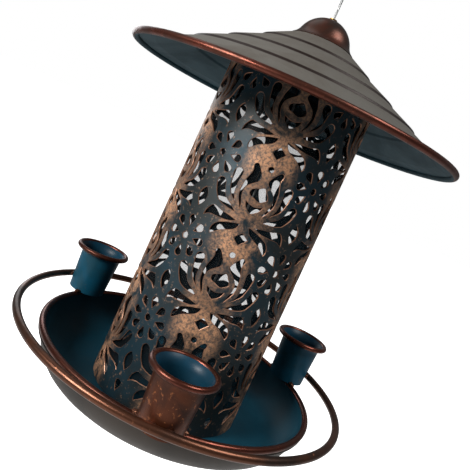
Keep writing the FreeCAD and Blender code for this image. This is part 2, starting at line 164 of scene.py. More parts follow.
def mathNode(tree, kind, first, second=None, clamp=False):
    node = tree.nodes.new('ShaderNodeMath')
    node.operation = kind
    node.use_clamp = clamp
    for socket, value in zip(node.inputs, (first, second)):
        if isinstance(value, bpy.types.NodeSocket):
            tree.links.new(value, socket)
        elif value is not None:
            socket.default_value = value
    return node.outputs[0]


def rampNode(tree, source, low, high, fromValue=0.0, toValue=1.0):
    node = tree.nodes.new('ShaderNodeMapRange')
    node.interpolation_type = 'SMOOTHSTEP'
    tree.links.new(source, node.inputs['Value'])
    node.inputs['From Min'].default_value = low
    node.inputs['From Max'].default_value = high
    node.inputs['To Min'].default_value = fromValue
    node.inputs['To Max'].default_value = toValue
    return node.outputs['Result']


def noiseNode(tree, vector, scale, detail=3.0, rough=0.55, distortion=0.0):
    node = tree.nodes.new('ShaderNodeTexNoise')
    tree.links.new(vector, node.inputs['Vector'])
    if isinstance(scale, bpy.types.NodeSocket):
        tree.links.new(scale, node.inputs['Scale'])
    else:
        node.inputs['Scale'].default_value = scale
    node.inputs['Detail'].default_value = detail
    node.inputs['Roughness'].default_value = rough
    node.inputs['Distortion'].default_value = distortion
    return node.outputs['Fac']


def buildAgedGroup():
    # patches of colour, small specks and the fine orange-peel of a sprayed finish
    group, start, end = makeGroup(
        "agedFinish",
        [("Vector", 'NodeSocketVector', None), ("Patch Scale", 'NodeSocketFloat', 30.0),
         ("Patch Edge", 'NodeSocketFloat', 0.5), ("Speck Scale", 'NodeSocketFloat', 400.0),
         ("Speck Amount", 'NodeSocketFloat', 0.3), ("Grain Scale", 'NodeSocketFloat', 1600.0)],
        ["Patch", "Speck", "Grain"])
    vector = start.outputs['Vector']
    patch = noiseNode(group, vector, start.outputs['Patch Scale'], 5.0, 0.62, 0.4)
    low = mathNode(group, 'SUBTRACT', start.outputs['Patch Edge'], 0.09)
    span = mathNode(group, 'SUBTRACT', patch, low)
    group.links.new(mathNode(group, 'MULTIPLY', span, 5.5, True), end.inputs['Patch'])
    speck = noiseNode(group, vector, start.outputs['Speck Scale'], 4.0, 0.7)
    lowered = mathNode(group, 'MULTIPLY', start.outputs['Speck Amount'], 0.3)
    threshold = mathNode(group, 'SUBTRACT', 0.72, lowered)
    group.links.new(mathNode(group, 'MULTIPLY', mathNode(group, 'SUBTRACT', speck, threshold), 9.0, True),
                    end.inputs['Speck'])
    group.links.new(noiseNode(group, vector, start.outputs['Grain Scale'], 2.0, 0.5), end.inputs['Grain'])
    return group


def buildHubGroup(values):
    # 1 on the pattern's hub columns, 0 on the daisy columns between them
    group, start, end = makeGroup("hubColumn", [("Vector", 'NodeSocketVector', None)], ["Column", "Row"])
    split = group.nodes.new('ShaderNodeSeparateXYZ')
    group.links.new(start.outputs['Vector'], split.inputs[0])
    front = mathNode(group, 'MULTIPLY', split.outputs['Y'], -1.0)
    angle = mathNode(group, 'ARCTAN2', split.outputs['X'], front)
    turns = mathNode(group, 'MULTIPLY', angle, values["tiles"] / math.tau)
    wave = mathNode(group, 'COSINE', mathNode(group, 'MULTIPLY', turns, math.tau))
    group.links.new(rampNode(group, wave, values["edgeLow"], values["edgeHigh"]), end.inputs['Column'])
    height = mathNode(group, 'DIVIDE', mathNode(group, 'SUBTRACT', split.outputs['Z'], values["hubHeight"]),
                      values["pitch"])
    rows = mathNode(group, 'ADD', height, values["shift"])
    rowWave = mathNode(group, 'COSINE', mathNode(group, 'MULTIPLY', rows, math.tau))
    group.links.new(rampNode(group, rowWave, -0.4, 0.9), end.inputs['Row'])
    return group


def buildShadeRingGroup(name, radii, width):
    # painted shade: dark rings on a spun piece, at the radii of its steps
    group, start, end = makeGroup(name, [("Vector", 'NodeSocketVector', None)], ["Groove"])
    split = group.nodes.new('ShaderNodeSeparateXYZ')
    group.links.new(start.outputs['Vector'], split.inputs[0])
    flat = group.nodes.new('ShaderNodeCombineXYZ')
    group.links.new(split.outputs['X'], flat.inputs['X'])
    group.links.new(split.outputs['Y'], flat.inputs['Y'])
    length = group.nodes.new('ShaderNodeVectorMath')
    length.operation = 'LENGTH'
    group.links.new(flat.outputs[0], length.inputs[0])
    total = None
    for radius in radii:
        away = mathNode(group, 'ABSOLUTE', mathNode(group, 'SUBTRACT', length.outputs['Value'], radius))
        near = rampNode(group, away, 0.0003, width, 1.0, 0.0)
        total = near if total is None else mathNode(group, 'MAXIMUM', total, near)
    group.links.new(total, end.inputs['Groove'])
    return group


def mixColour(tree, factor, first, second):
    node = tree.nodes.new('ShaderNodeMix')
    node.data_type = 'RGBA'
    for socket, value in ((node.inputs[0], factor), (node.inputs[6], first), (node.inputs[7], second)):
        if isinstance(value, bpy.types.NodeSocket):
            tree.links.new(value, socket)
        else:
            socket.default_value = value
    return node.outputs[2]


def agedMetal(name, look, extra=None):
    # a sprayed or patinated metal; extra(tree, vector, colour) may lay something over the colour
    material = bpy.data.materials.new(name)
    material.use_nodes = True
    tree = material.node_tree
    shader = tree.nodes['Principled BSDF']
    coords = tree.nodes.new('ShaderNodeTexCoord').outputs['Object']
    aged = tree.nodes.new('ShaderNodeGroup')
    aged.node_tree = agedGroup
    tree.links.new(coords, aged.inputs['Vector'])
    settings = {"Patch Scale": "patchScale", "Patch Edge": "patchEdge", "Speck Scale": "speckScale",
                "Speck Amount": "speckAmount", "Grain Scale": "grainScale"}
    for label, key in settings.items():
        aged.inputs[label].default_value = look[key]
    base = mixColour(tree, aged.outputs['Patch'], colour(look["base"]), colour(look["patch"]))
    if extra:
        base = extra(tree, coords, base)
    base = mixColour(tree, aged.outputs['Speck'], base, colour(look["speck"]))
    tree.links.new(base, shader.inputs['Base Color'])
    rough = rampNode(tree, aged.outputs['Patch'], 0.0, 1.0, look["roughBase"], look["roughPatch"])
    tree.links.new(rough, shader.inputs['Roughness'])
    shader.inputs['Metallic'].default_value = look["metallic"]
    shader.inputs['Specular IOR Level'].default_value = look["specular"]
    bump = tree.nodes.new('ShaderNodeBump')
    bump.inputs['Strength'].default_value = look["bump"]
    bump.inputs['Distance'].default_value = 0.0003
    raised = mathNode(tree, 'MULTIPLY', aged.outputs['Speck'], 0.6)
    tree.links.new(mathNode(tree, 'ADD', aged.outputs['Grain'], raised), bump.inputs['Height'])
    tree.links.new(bump.outputs['Normal'], shader.inputs['Normal'])
    return material


agedGroup = buildAgedGroup()

# finishes: a base colour, patches of a second one and specks of a third
roofLook = {
    "base": "#676560", "patch": "#5a5650", "speck": "#7c7870", "patchScale": 14.0,
    "patchEdge": 0.52, "speckScale": 900.0, "speckAmount": 0.2, "grainScale": 2600.0,
    # the step colour is painted shade, a near-black line laid over each step riser
    "metallic": 0.45, "roughBase": 0.42, "roughPatch": 0.5, "bump": 0.08, "stepShade": "#1a0e0a",
    "specular": 0.5}
underLook = {
    "base": "#22424d", "patch": "#1b3640", "speck": "#3b4c54", "patchScale": 16.0, "patchEdge": 0.5,
    "speckScale": 700.0, "speckAmount": 0.2, "grainScale": 2200.0, "metallic": 0.0,
    "roughBase": 0.5, "roughPatch": 0.6, "bump": 0.08, "specular": 0.2}
beadLook = {
    "base": "#63352a", "patch": "#45281f", "speck": "#a8664a", "patchScale": 40.0, "patchEdge": 0.5,
    "speckScale": 500.0, "speckAmount": 0.25, "grainScale": 2400.0, "metallic": 0.85,
    "roughBase": 0.26, "roughPatch": 0.4, "bump": 0.1, "specular": 0.5}
domeLook = {
    "base": "#3a2e29", "patch": "#55291a", "speck": "#7a4a36", "patchScale": 20.0, "patchEdge": 0.5,
    "speckScale": 600.0, "speckAmount": 0.12, "grainScale": 2200.0, "metallic": 0.75,
    "roughBase": 0.3, "roughPatch": 0.4, "bump": 0.08, "specular": 0.5}
tubeLook = {
    "base": "#202729", "patch": "#162f3a", "speck": "#7f6553", "patchScale": 22.0,
    "patchEdge": 0.52, "speckScale": 420.0, "speckAmount": 0.45, "grainScale": 1500.0,
    "metallic": 0.45, "roughBase": 0.42, "roughPatch": 0.48, "bump": 0.25, "rub": "#dca67e",
    "rubDark": "#74645a", "specular": 0.5}
edgeLook = {
    "base": "#96705a", "patch": "#6b4a39", "speck": "#c09a7c", "patchScale": 60.0, "patchEdge": 0.5,
    "speckScale": 500.0, "speckAmount": 0.3, "grainScale": 2400.0, "metallic": 0.55,
    "roughBase": 0.4, "roughPatch": 0.5, "bump": 0.1, "specular": 0.5}
innerLook = {
    "base": "#072f3e", "patch": "#0a3848", "speck": "#22424f", "patchScale": 18.0, "patchEdge": 0.5,
    "speckScale": 600.0, "speckAmount": 0.12, "grainScale": 2200.0, "metallic": 0.0,
    "roughBase": 0.45, "roughPatch": 0.55, "bump": 0.08, "specular": 0.2}
trayLook = {
    "base": "#38322d", "patch": "#2a2826", "speck": "#5d493c", "patchScale": 16.0, "patchEdge": 0.5,
    "speckScale": 520.0, "speckAmount": 0.25, "grainScale": 2200.0, "metallic": 0.5,
    "roughBase": 0.42, "roughPatch": 0.5, "bump": 0.12, "specular": 0.5}
ringLook = {
    "base": "#5d3c2d", "patch": "#3a2c26", "speck": "#b07252", "patchScale": 24.0,
    "patchEdge": 0.52, "speckScale": 420.0, "speckAmount": 0.3, "grainScale": 2200.0,
    "metallic": 0.85, "roughBase": 0.3, "roughPatch": 0.4, "bump": 0.12, "specular": 0.5}
cupLook = {
    "base": "#522c1b", "patch": "#2f1e19", "speck": "#a5663f", "patchScale": 46.0,
    "patchEdge": 0.55, "speckScale": 330.0, "speckAmount": 0.45, "grainScale": 1400.0,
    "metallic": 0.7, "roughBase": 0.36, "roughPatch": 0.46, "bump": 0.25, "specular": 0.5}
cupBlueLook = {
    "base": "#0d4359", "patch": "#123b4a", "speck": "#5d4636", "patchScale": 40.0,
    "patchEdge": 0.52, "speckScale": 360.0, "speckAmount": 0.25, "grainScale": 1600.0,
    "metallic": 0.15, "roughBase": 0.36, "roughPatch": 0.44, "bump": 0.15, "specular": 0.2}
cupInsideLook = {
    "base": "#0a3347", "patch": "#092b3b", "speck": "#2c5a70", "patchScale": 40.0, "patchEdge": 0.5,
    "speckScale": 600.0, "speckAmount": 0.12, "grainScale": 2200.0, "metallic": 0.0,
    "roughBase": 0.36, "roughPatch": 0.44, "bump": 0.08, "specular": 0.2}
zincLook = {
    "base": "#a9abac", "patch": "#8d9092", "speck": "#c5c7c8", "patchScale": 120.0,
    "patchEdge": 0.5, "speckScale": 900.0, "speckAmount": 0.3, "grainScale": 3000.0,
    "metallic": 0.9, "roughBase": 0.32, "roughPatch": 0.42, "bump": 0.1, "specular": 0.5}
brassLook = {
    "base": "#a8823e", "patch": "#7d5f2e", "speck": "#d0aa62", "patchScale": 160.0,
    "patchEdge": 0.5, "speckScale": 900.0, "speckAmount": 0.2, "grainScale": 3000.0,
    "metallic": 0.95, "roughBase": 0.28, "roughPatch": 0.36, "bump": 0.08, "specular": 0.5}

roofShape = {
    "crownHole": 0.015, "steps": (0.039, 0.0595, 0.0787), "slopes": (29.0, 26.0, 26.0, 26.0),
    "brimStart": 0.0992, "brimSlope": 12.5, "stepRun": 0.001, "stepDrop": 0.0016, "bead": 0.0022,
    "corner": 0.0003, "turns": 240}
tubePattern = {
    "tiles": 5, "pitch": 0.054, "firstHub": 0.024, "margin": 0.005, "seamMargin": 0.0045,
    "bevel": 0.00022, "cuts": 80}

# painted shade on the roof: a dark ring over the riser of each step
stepShadeGroup = buildShadeRingGroup("roofStepShade", [r + roofShape["stepRun"] / 2 for r in roofShape["steps"]], 0.001)
hubGroup = buildHubGroup({"tiles": tubePattern["tiles"], "edgeLow": -0.35, "edgeHigh": 0.75,
                          "hubHeight": trayLow.z + tubePattern["firstHub"], "pitch": tubePattern["pitch"],
                          "shift": 0.25})


# lays the painted shade of the step risers over the roof's colour
def withGrooves(tree, vector, base):
    rings = tree.nodes.new('ShaderNodeGroup')
    rings.node_tree = stepShadeGroup
    tree.links.new(vector, rings.inputs['Vector'])
    return mixColour(tree, rings.outputs['Groove'], base, colour(roofLook["stepShade"]))


def withRub(tree, vector, base):
    # copper shows through the dark finish round the hubs and the wings under them
    hubs = tree.nodes.new('ShaderNodeGroup')
    hubs.node_tree = hubGroup
    tree.links.new(vector, hubs.inputs['Vector'])
    patchy = rampNode(tree, noiseNode(tree, vector, 70.0, 5.0, 0.65, 0.6), 0.34, 0.56)
    rows = mathNode(tree, 'ADD', mathNode(tree, 'MULTIPLY', hubs.outputs['Row'], 0.5), 0.5)
    rub = mathNode(tree, 'MULTIPLY', mathNode(tree, 'MULTIPLY', hubs.outputs['Column'], rows), patchy)
    tone = mixColour(tree, rampNode(tree, noiseNode(tree, vector, 620.0, 5.0, 0.7), 0.38, 0.6),
                     colour(tubeLook["rubDark"]), colour(tubeLook["rub"]))
    return mixColour(tree, mathNode(tree, 'MULTIPLY', rub, 0.85), base, tone)


roofPaint = agedMetal("roofPaint", roofLook, withGrooves)
roofUnder = agedMetal("roofUnderside", underLook)
copperBead = agedMetal("copperBead", beadLook)
domePaint = agedMetal("domeCopper", domeLook)
tubePaint = agedMetal("tubeBronze", tubeLook, withRub)
tubeInside = agedMetal("tubeInside", innerLook)
cutEdge = agedMetal("cutEdgeCopper", edgeLook)
innerPaint = agedMetal("trayInside", innerLook)
trayPaint = agedMetal("trayOutside", trayLook)
ringPaint = agedMetal("ringBronze", ringLook)
cupPaint = agedMetal("cupCopper", cupLook)
cupBluePaint = agedMetal("cupBlue", cupBlueLook)
cupInside = agedMetal("cupInside", cupInsideLook)
zinc = agedMetal("zincPlate", zincLook)
brass = agedMetal("turnedBrass", brassLook)

clearLook = {
    "colour": "#1d2124", "opacity": 0.2, "rough": 0.35, "specular": 0.15}
clearPlastic = bpy.data.materials.new("clearPlastic")
clearPlastic.use_nodes = True
clearShader = clearPlastic.node_tree.nodes['Principled BSDF']
clearShader.inputs['Base Color'].default_value = colour(clearLook["colour"])
clearShader.inputs['Roughness'].default_value = clearLook["rough"]
clearShader.inputs['Specular IOR Level'].default_value = clearLook["specular"]
clearShader.inputs['Alpha'].default_value = clearLook["opacity"]
print("finishes made")


def roofLine():
    # the roof's top face from the crown hole to the bead, as (radius, height)
    shape = roofShape
    beadRadius = roofHigh.x - shape["bead"]
    beadHeight = roofLow.z + shape["bead"]
    lift = sheet / math.cos(math.radians(shape["brimSlope"]))
    height = beadHeight + lift
    points = [(beadRadius, height)]
    height += (beadRadius - shape["brimStart"]) * math.tan(math.radians(shape["brimSlope"]))
    points.append((shape["brimStart"], height))
    radius = shape["brimStart"]
    slopes = list(shape["slopes"])
    for edge in reversed(shape["steps"]):
        height += (radius - edge - shape["stepRun"]) * math.tan(math.radians(slopes.pop()))
        points.append((edge + shape["stepRun"], height))
        height += shape["stepDrop"]
        points.append((edge, height))
        radius = edge
    height += (radius - shape["crownHole"]) * math.tan(math.radians(slopes.pop()))
    points.append((shape["crownHole"], height))
    return points[::-1]


def markFaces(bm, index, test):
    for face in bm.faces:
        if test(face.calc_center_median(), face.normal):
            face.material_index = index


def makeRoof():
    shape = roofShape
    bm = spunSheet(roofLine(), sheet, shape["turns"], shape["corner"], 4)
    markFaces(bm, 1, lambda centre, normal: normal.z < -0.05)
    spunBead(bm, roofHigh.x - shape["bead"], roofLow.z + shape["bead"], shape["bead"], shape["turns"], 2, 1)
    roof = addObject("roofCone", meshFrom(bm, "roofCone", 50), [roofPaint, roofUnder, copperBead], "roof")
    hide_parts("roof_cone")


domeShape = {
    "radius": 0.0186, "hole": 0.0019, "flare": 0.0035, "flareStart": 20.0, "lip": 0.0005,
    "sheet": 0.0005, "turns": 128}


def makeDome():
    # a half sphere, then a hollow curve that leaves it without a corner and runs out onto the roof
    shape = domeShape
    radius = shape["radius"]
    centre = domeHigh.z - radius
    start = math.asin(shape["hole"] / radius)
    end = math.radians(90 - shape["flareStart"])
    points = []
    for i in range(19):
        angle = start + (end - start) * i / 18
        points.append((radius * math.sin(angle), centre + radius * math.cos(angle)))
    foot = (radius + shape["flare"], roofHeightAt(radius + shape["flare"]) + shape["lip"])
    width = foot[0] - points[-1][0]
    height = points[-1][1] - foot[1]
    bend = end - math.atan2(height, width)
    flareRadius = math.hypot(width, height) / 2 / math.sin(bend)
    hub = (points[-1][0] + flareRadius * math.sin(end), points[-1][1] + flareRadius * math.cos(end))
    for i in range(1, 9):
        angle = end - 2 * bend * i / 8
        points.append((hub[0] - flareRadius * math.sin(angle), hub[1] - flareRadius * math.cos(angle)))
    bm = spunSheet(points, shape["sheet"], shape["turns"], 0)
    dome = addObject("domeCap", meshFrom(bm, "domeCap", 50), [domePaint], "roof")
    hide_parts("dome_cap")


def roofHeightAt(radius):
    points = roofLine()
    for (r0, z0), (r1, z1) in zip(points, points[1:]):
        if r0 <= radius <= r1:
            return z0 + (z1 - z0) * (radius - r0) / (r1 - r0)


makeRoof()
makeDome()
print("roof made")

trayShape = {
    "floorRadius": 0.070, "bossRadius": 0.013, "bossHeight": 0.006, "bossSlope": 0.005,
    "bead": 0.002, "hem": 0.0009, "turns": 240}


def makeTray():
    shape = trayShape
    beadRadius = trayHigh.x - shape["bead"]
    beadHeight = trayHigh.z - shape["bead"]
    floor = trayLow.z
    points = [(0.0021, floor + shape["bossHeight"]), (shape["bossRadius"], floor + shape["bossHeight"]),
              (shape["bossRadius"] + shape["bossSlope"], floor), (shape["floorRadius"], floor)]
    wallRun = beadRadius - 0.001 - shape["floorRadius"]
    wallRise = beadHeight - floor
    for i in range(1, 13):
        angle = math.pi / 2 * i / 12
        points.append((shape["floorRadius"] + wallRun * math.sin(angle) ** 0.9,
                       floor + wallRise * (1 - math.cos(angle)) ** 0.92))
    bm = spunSheet(points, sheet, shape["turns"], 0, outward=True)
    markFaces(bm, 1, lambda centre, normal: normal.z > (-0.1 if normal.xy.dot(centre.xy) < -1e-4 else 0.02))
    spunBead(bm, beadRadius, beadHeight, shape["bead"], shape["turns"], 2)
    hemHeight = beadHeight - shape["bead"] - shape["hem"] * 0.6
    spunBead(bm, beadRadius + 0.0004, hemHeight, shape["hem"], shape["turns"], 0)
    tray = addObject("trayDish", meshFrom(bm, "trayDish", 50), [trayPaint, innerPaint, copperBead], "feeder")
    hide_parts("tray_dish")


def makeRing():
    rod = (ringHigh.z - ringLow.z) / 2
    bm = bmesh.new()
    spunBead(bm, ringHigh.x - rod, (ringLow.z + ringHigh.z) / 2, rod, 288, 0)
    ring = addObject("perchRing", meshFrom(bm, "perchRing", 0), [ringPaint], "feeder")
    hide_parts("perch_ring")


makeTray()
makeRing()
print("tray made")

cupShape = {
    "foot": 0.0128, "top": 0.0144, "bead": 0.0017, "flareHeight": 0.008,
    "turns": 96}


def makeCup(nodeName, name, outside):
    shape = cupShape
    low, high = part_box(nodeName)
    lip = (high.x - low.x) / 2
    height = high.z - low.z
    beadRadius = lip - shape["bead"]
    beadHeight = height - shape["bead"]
    flareStart = height - shape["flareHeight"]
    points = [(0.0, 0.0), (shape["foot"], 0.0), (shape["top"], flareStart)]
    for i in range(1, 8):
        t = i / 7
        points.append((shape["top"] + (beadRadius - shape["bead"] * 0.4 - shape["top"]) * t ** 2.2,
                       flareStart + (beadHeight - flareStart) * t ** 0.85))
    bm = spunSheet(points, sheet, shape["turns"], 0, outward=True)
    markFaces(bm, 1, lambda centre, normal: normal.z > 0.5 or normal.xy.dot(centre.xy) < -1e-5)
    spunBead(bm, beadRadius, beadHeight, shape["bead"], shape["turns"], 2)
    bmesh.ops.translate(bm, verts=bm.verts, vec=((low.x + high.x) / 2, (low.y + high.y) / 2, low.z))
    cup = addObject(name, meshFrom(bm, name, 45), [outside, cupInside, copperBead], "feeder")
    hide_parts(nodeName)


makeCup("treat_cup_front", "treatCupFront", cupPaint)
makeCup("treat_cup_right", "treatCupRight", cupBluePaint)
makeCup("treat_cup_left", "treatCupLeft", cupBluePaint)
print("cups made")

mm = 0.001


def addLoop(curve, points, offset):
    # closed outline; a point with a third value is a sharp one
    spline = curve.splines.new('BEZIER')
    spline.bezier_points.add(len(points) - 1)
    spline.use_cyclic_u = True
    spline.resolution_u = 2
    for target, point in zip(spline.bezier_points, points):
        target.co = (point[0] * mm + offset[0], point[1] * mm + offset[1], 0)
        kind = 'VECTOR' if len(point) > 2 else 'AUTO'
        target.handle_left_type = kind
        target.handle_right_type = kind


def drop(tipX, tipY, headX, headY, width, bend):
    # a teardrop from its sharp tip to its round head, bowed sideways by bend
    along = Vector((headX - tipX, headY - tipY))
    across = Vector((-along.y, along.x)).normalized()

    def at(t, side):
        middle = Vector((tipX, tipY)) + along * t + across * bend * 4 * t * (1 - t)
        slope = (along + across * bend * 4 * (1 - 2 * t)).normalized()
        return middle + Vector((-slope.y, slope.x)) * side * width / 2

    outline = [(tipX, tipY, 1)]
    oneSide = [(0.35, 0.62), (0.72, 1.0), (0.93, 0.62)]
    for t, side in oneSide + [(1.0, 0.0)] + [(t, -side) for t, side in reversed(oneSide)]:
        outline.append(tuple(at(t, side)))
    return outline


def roundHole(x, y, radius):
    turns = [math.tau * i / 6 for i in range(6)]
    return [(x + radius * math.cos(turn), y + radius * math.sin(turn)) for turn in turns]


def hubOutlines():
    middle = [
        [(-5.6, 17.4), (-3.6, 19.3), (-0.6, 20.4), (1.8, 21.8), (4.2, 19.2), (6.2, 15.6), (4.6, 14.0),
         (1.6, 12.5), (-2.0, 13.9), (-4.6, 14.6)],
        [(0, 4.4, 1), (4.2, 7.4), (5.6, 11.2, 1), (2.8, 9.9), (0, 9.3), (-2.8, 9.9), (-5.6, 11.2, 1),
         (-4.2, 7.4)],
        [(0.6, -7.0, 1), (5.4, -10.2, 1), (0.9, -15.0, 1), (-3.6, -11.4, 1)],
        roundHole(0.7, -21.2, 2.0)]
    upperLeaf = [
        (8.4, 2.3, 1), (13.0, 5.6), (17.2, 8.2), (19.6, 12.6), (21.2, 16.6), (23.6, 18.0),
        (26.4, 16.2), (25.8, 12.2), (22.8, 6.8), (20.6, 4.5), (14.5, 2.8)]
    ribGap = [
        (8.6, 5.2, 1), (13.2, 9.0), (16.0, 11.8), (17.5, 15.4), (18.6, 20.6), (18.7, 25.8),
        (15.6, 27.1), (13.4, 25.2), (13.8, 20.8), (13.9, 16.0), (13.4, 12.0), (11.2, 8.0)]
    levelLeaf = [
        (5.8, -1.8, 1), (12.0, -0.6), (17.0, 0.0), (21.8, 1.1), (24.2, -1.2), (25.6, -4.2),
        (25.9, -7.2, 1), (22.6, -5.0), (17.6, -4.7), (12.0, -4.2), (8.2, -3.2)]
    lowerLeaf = [
        (2.6, -2.6, 1), (6.8, -3.7), (11.6, -5.4), (15.8, -7.5), (17.9, -10.2), (18.3, -13.4),
        (17.4, -15.2, 1), (14.6, -12.9), (11.8, -10.6), (7.2, -8.5), (4.2, -6.4)]
    wing = [
        (7.8, -20.4), (9.7, -22.0), (8.9, -24.6), (9.5, -28.2), (10.7, -31.8), (11.2, -35.6),
        (11.3, -39.4), (10.4, -42.8), (8.6, -46.2), (6.8, -49.2, 1), (7.3, -45.8), (8.6, -42.4),
        (9.3, -39.0), (8.7, -36.0), (6.8, -33.4), (4.3, -31.3), (2.2, -28.9), (2.7, -26.4),
        (4.3, -24.0), (5.9, -21.8)]
    side = [upperLeaf, ribGap, levelLeaf, lowerLeaf, wing]
    mirrored = [[(-p[0],) + tuple(p[1:]) for p in outline] for outline in side]
    return middle + side + mirrored


def daisyOutlines():
    height, tip, head, width = -23.0, 5.8, 13.3, 4.9
    outlines = [roundHole(0, height, 2.2), [(0, 8.7, 1), (2.7, 5.6), (2.9, 0.6), (0, -3.8, 1), (-2.9, 0.6),
                                              (-2.7, 5.6)]]
    for i in range(8):
        across, along = math.cos(math.tau * i / 8), math.sin(math.tau * i / 8)
        outlines.append(drop(tip * across, height + tip * along, head * across, height + head * along,
                             width, 0))
    return outlines


def makeTube():
    pattern = tubePattern
    halfWidth = math.pi * tubeRadius
    low, high = tubeLow.z, tubeHigh.z
    curve = bpy.data.curves.new("tubeFlat", 'CURVE')
    curve.dimensions = '2D'
    curve.fill_mode = 'BOTH'
    curve.extrude = sheet / 2 - pattern["bevel"]
    curve.bevel_depth = pattern["bevel"]
    curve.bevel_resolution = 0
    frameLine = curve.splines.new('POLY')
    frameLine.points.add(3)
    inset = pattern["bevel"]
    corners = ((-halfWidth + inset, low + inset), (halfWidth - inset, low + inset),
               (halfWidth - inset, high - inset), (-halfWidth + inset, high - inset))
    for target, corner in zip(frameLine.points, corners):
        target.co = (corner[0], corner[1], 0, 1)
    frameLine.use_cyclic_u = True
    tileWidth = 2 * halfWidth / pattern["tiles"]
    rows = int((high - low) / pattern["pitch"]) + 2
    count = 0
    for row in range(rows):
        hubHeight = trayLow.z + pattern["firstHub"] + row * pattern["pitch"]
        for tile in range(-2, 4):
            for shift, outlines in ((0.0, hubOutlines()), (-0.5, daisyOutlines())):
                x = (tile + shift) * tileWidth
                for outline in outlines:
                    across = [p[0] * mm + x for p in outline]
                    up = [p[1] * mm + hubHeight for p in outline]
                    clearOfSeam = max(abs(min(across)), abs(max(across))) < halfWidth - pattern["seamMargin"]
                    clearOfEnds = min(up) > low + pattern["margin"] and max(up) < high - pattern["margin"]
                    if clearOfSeam and clearOfEnds:
                        addLoop(curve, outline, (x, hubHeight))
                        count += 1
    flat = bpy.data.objects.new("tubeFlat", curve)
    bpy.context.collection.objects.link(flat)
    bpy.context.view_layer.update()
    sheetMesh = bpy.data.meshes.new_from_object(flat)
    bpy.data.objects.remove(flat)
    bm = bmesh.new()
    bm.from_mesh(sheetMesh)
    bmesh.ops.remove_doubles(bm, verts=bm.verts, dist=1e-6)
    bmesh.ops.recalc_face_normals(bm, faces=bm.faces)
    for face in bm.faces:  # rims of the openings are bare copper, the back is the inside finish
        face.material_index = 1 if abs(face.normal.z) < 0.9 else (0 if face.normal.z > 0 else 2)
    step = 2 * halfWidth / pattern["cuts"]
    for i in range(1, pattern["cuts"]):
        bmesh.ops.bisect_plane(bm, geom=list(bm.verts) + list(bm.edges) + list(bm.faces), dist=1e-7,
                               plane_co=(-halfWidth + step * i, 0, 0), plane_no=(1, 0, 0))
    for vert in bm.verts:  # roll the flat sheet into the tube, its middle to the front
        angle = vert.co.x / tubeRadius
        radius = tubeRadius - sheet / 2 + vert.co.z
        vert.co = (radius * math.sin(angle), -radius * math.cos(angle), vert.co.y)
    bmesh.ops.remove_doubles(bm, verts=bm.verts, dist=1e-6)
    print("tube:", count, "openings,", len(bm.faces), "faces")
    tube = addObject("piercedTube", meshFrom(bm, "piercedTube", 35), [tubePaint, cutEdge, tubeInside],
                     "feeder")
    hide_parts("pierced_tube")


def makeSleeve():
    low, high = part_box("clear_seed_sleeve")
    bm = spunSheet([(high.x, high.z), (high.x, low.z)], 0.0012, 128, 0, outward=True)
    sleeve = addObject("clearSleeve", meshFrom(bm, "clearSleeve", 40), [clearPlastic], "feeder")
    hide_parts("clear_seed_sleeve")


makeTube()
makeSleeve()
print("tube made")

weldShape = {"size": 0.0026, "lump": 0.0006}


def makeWelds():
    bm = bmesh.new()
    ringRadius = ringHigh.x - (ringHigh.z - ringLow.z) / 2
    ringHeight = (ringLow.z + ringHigh.z) / 2
    for cupIndex in range(3):
        turn = math.tau * cupIndex / 3
        spots = [(side * 0.0046, -ringRadius + 0.0024, ringHeight + 0.0004) for side in (-1, 1)]
        spots += [(side * 0.0125, -trayHigh.x + 0.0032, trayHigh.z + 0.0002) for side in (-1, 1)]
        for spot in spots:
            made = bmesh.ops.create_icosphere(bm, subdivisions=3, radius=weldShape["size"])["verts"]
            bmesh.ops.scale(bm, verts=made, vec=(1.3, 0.7, 0.6))
            for vert in made:
                lump = noise.noise(vert.co * 900 + Vector((cupIndex, 0, 0)))
                vert.co += vert.co.normalized() * weldShape["lump"] * lump
            bmesh.ops.translate(bm, verts=made, vec=spot)
            bmesh.ops.rotate(bm, verts=made, cent=(0, 0, 0), matrix=Matrix.Rotation(turn, 3, 'Z'))
    welds = addObject("cupWelds", meshFrom(bm, "cupWelds", 0), [ringPaint], "feeder")
    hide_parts("cup_ring_welds", "cup_tray_welds")


makeWelds()

cableShape = {"diameter": 0.0015, "strands": 6, "lay": 0.0105, "length": 0.3922}
cableRoute = [
    (0.0, -0.33127), (0.0, -0.04088), (0.0, -0.03188), (-0.00375, -0.02388), (-0.00975, -0.01488),
    (-0.00935, -0.00488), (0.00085, 0.00262), (0.01105, -0.00488), (0.01145, -0.01488),
    (0.00545, -0.02388), (0.0017, -0.03188), (0.0017, -0.04488)]


